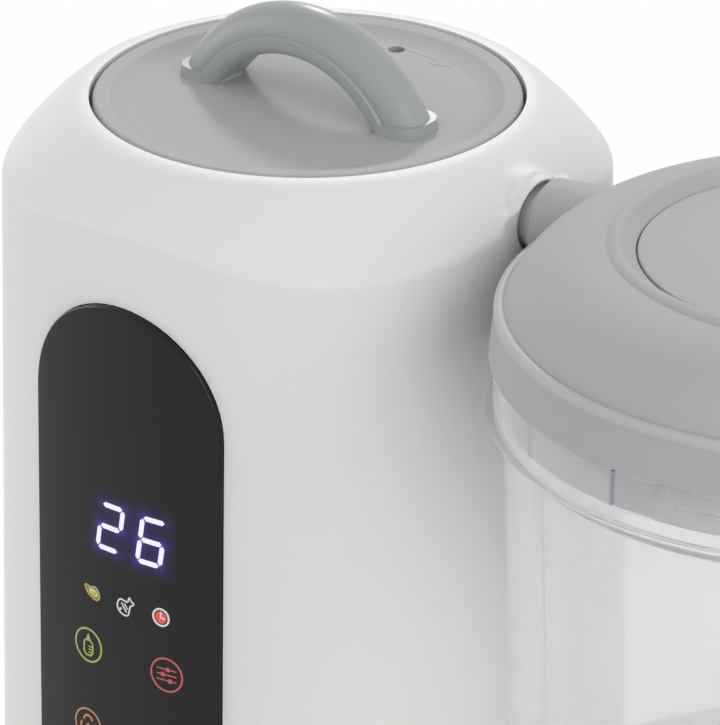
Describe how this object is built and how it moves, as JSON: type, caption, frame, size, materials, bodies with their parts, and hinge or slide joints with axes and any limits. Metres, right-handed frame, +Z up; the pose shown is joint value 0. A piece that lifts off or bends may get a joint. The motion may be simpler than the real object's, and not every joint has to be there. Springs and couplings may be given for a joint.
{
  "type": "baby food maker",
  "caption": "Countertop baby food maker: a steam tower with a lift-off handled lid and a dark touch panel, piped to a clear blender jar with a domed lid on a motor pod.",
  "frame": {"origin": "middle of the footprint on the table, under the bounding box's centre", "axes": "+Z up, +X from the tower towards the jar's handle, -Y the side that the touch panel faces"},
  "size_m": [0.3036, 0.1372, 0.2245],
  "materials": {
    "white": "satin moulded white",
    "grey": "satin moulded grey",
    "grey_gloss": "polished moulded grey-green",
    "lens": "polished charcoal",
    "black": "fine texture",
    "clear": "clear polished",
    "steel": "brushed",
    "silicone": "soft matt",
    "rubber": "matt",
    "board": "solder mask",
    "alu": "die cast",
    "iron": "sintered",
    "copper": "machined"
  },
  "bodies": {
    "base": {"main_housing": "white", "top_cover": "white", "bottom_cover": "white", "rubber_feet": "rubber", "cover_screws": "steel", "control_panel": "lens", "panel_carrier": "black", "display_board": "board", "digit_display": "black", "touch_springs": "steel", "chamber": "steel", "chamber_seal": "silicone", "heater_plate": "alu", "heating_element": "steel", "thermostat": "black", "steam_sleeve": "steel", "outlet_seal": "silicone", "power_board": "board", "board_parts": "black", "board_screws": "steel", "mains_inlet": "black", "motor_can": "steel", "motor_end_cap": "black", "magnets": "iron", "motor_plate": "steel", "motor_grommets": "rubber", "motor_bearings": "copper"},
    "rotor": {"motor_shaft": "steel", "armature": "iron", "commutator": "copper", "cooling_fan": "black", "drive_coupling": "black"},
    "tower_lid": {"tower_lid": "grey", "lid_handle": "grey_gloss", "lid_screws": "steel", "lid_seal": "silicone"},
    "jar": {"jar": "clear", "jar_collar": "white", "jar_handle": "grey", "blade_bush": "steel", "blade_seal": "silicone", "blade_nut": "black"},
    "blades": {"blade_spindle": "steel", "driven_coupling": "black", "lower_blade": "steel", "upper_blade": "steel", "blade_cap": "steel"},
    "jar_lid": {"jar_lid": "grey", "lid_liner": "grey", "lid_gasket": "silicone", "lid_disc": "grey"}
  },
  "joints": [
    {"name": "tower_lid_lift", "type": "slide", "parent": "base", "child": "tower_lid", "axis": [0, 0, 1], "range_m": [0, 0.08]},
    {"name": "motor_spin", "type": "hinge", "parent": "base", "child": "rotor", "pos_m": [0.04778, 0, 0.04], "axis": [0, 0, 1], "continuous": true},
    {"name": "jar_lift", "type": "slide", "parent": "base", "child": "jar", "axis": [0, 0, 1], "range_m": [0, 0.13]},
    {"name": "blade_spin", "type": "hinge", "parent": "jar", "child": "blades", "pos_m": [0.04778, 0, 0.09], "axis": [0, 0, 1], "continuous": true},
    {"name": "jar_lid_twist", "type": "hinge", "parent": "jar", "child": "jar_lid", "pos_m": [0.04778, 0, 0.19], "axis": [0, 0, 1], "range_deg": [0, 30]}
  ],
  "couplings": [
    {"joint": "blade_spin", "follows": "motor_spin", "ratio": 1}
  ]
}
